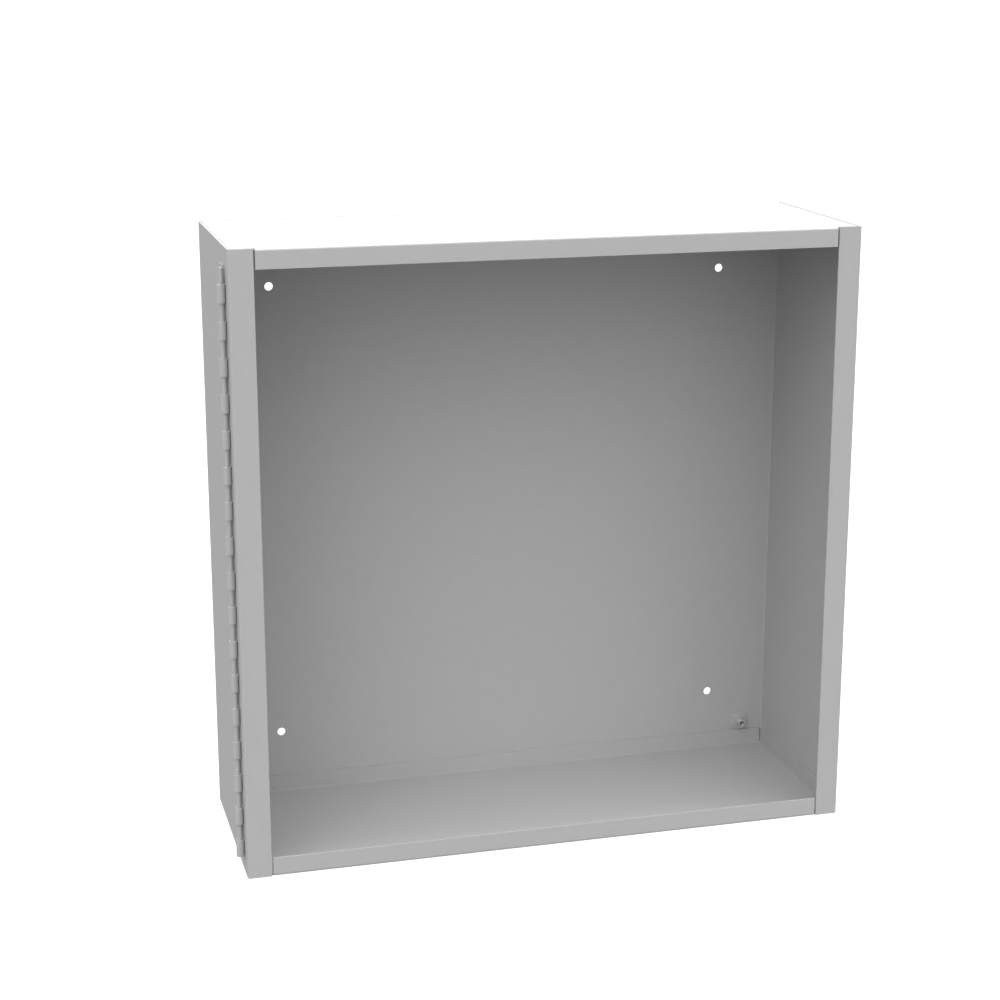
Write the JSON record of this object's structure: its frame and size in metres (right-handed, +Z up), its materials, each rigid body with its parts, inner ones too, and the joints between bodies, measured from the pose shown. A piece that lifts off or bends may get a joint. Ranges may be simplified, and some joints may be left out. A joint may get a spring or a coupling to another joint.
{
  "type": "fire alarm control panel back box",
  "caption": "Open wall-mounted sheet-steel back box for a fire alarm control panel, with the cabinet half of a continuous door hinge and an earthing weld nut.",
  "frame": {"origin": "centre of the four wall holes, on the outer face of the back", "axes": "+X to the right as one faces the open front, +Y into the wall, +Z up; the open front faces -Y"},
  "size_m": [0.466, 0.1554, 0.4572],
  "materials": {
    "wrapper_paint": "light grey powder coat, fine orange peel, low sheen",
    "pan_paint": "light grey powder coat, fine orange peel, low sheen",
    "hinge_paint": "light grey powder coat over rolled steel strip",
    "pin_paint": "light grey powder coat over drawn steel wire",
    "nut_paint": "light grey paint over a turned steel weld nut"
  },
  "bodies": {
    "cabinet": {"cabinet_wrapper": "wrapper_paint", "top_end_pan": "pan_paint", "bottom_end_pan": "pan_paint", "hinge_leaf": "hinge_paint", "ground_nut": "nut_paint", "hinge_knuckle_01": "hinge_paint", "hinge_knuckle_02": "hinge_paint", "hinge_knuckle_03": "hinge_paint", "hinge_knuckle_04": "hinge_paint", "hinge_knuckle_05": "hinge_paint", "hinge_knuckle_06": "hinge_paint", "hinge_knuckle_07": "hinge_paint", "hinge_knuckle_08": "hinge_paint", "hinge_knuckle_09": "hinge_paint", "hinge_knuckle_10": "hinge_paint", "hinge_knuckle_11": "hinge_paint", "hinge_knuckle_12": "hinge_paint", "hinge_knuckle_13": "hinge_paint", "hinge_knuckle_14": "hinge_paint", "hinge_knuckle_15": "hinge_paint", "hinge_knuckle_16": "hinge_paint", "hinge_knuckle_17": "hinge_paint"},
    "hinge_pin": {"hinge_pin": "pin_paint"}
  },
  "joints": [
    {"name": "hinge_pin_turn", "type": "hinge", "parent": "cabinet", "child": "hinge_pin", "pos_m": [-0.23303, -0.14144, 0], "axis": [0, 0, 1], "continuous": true}
  ]
}
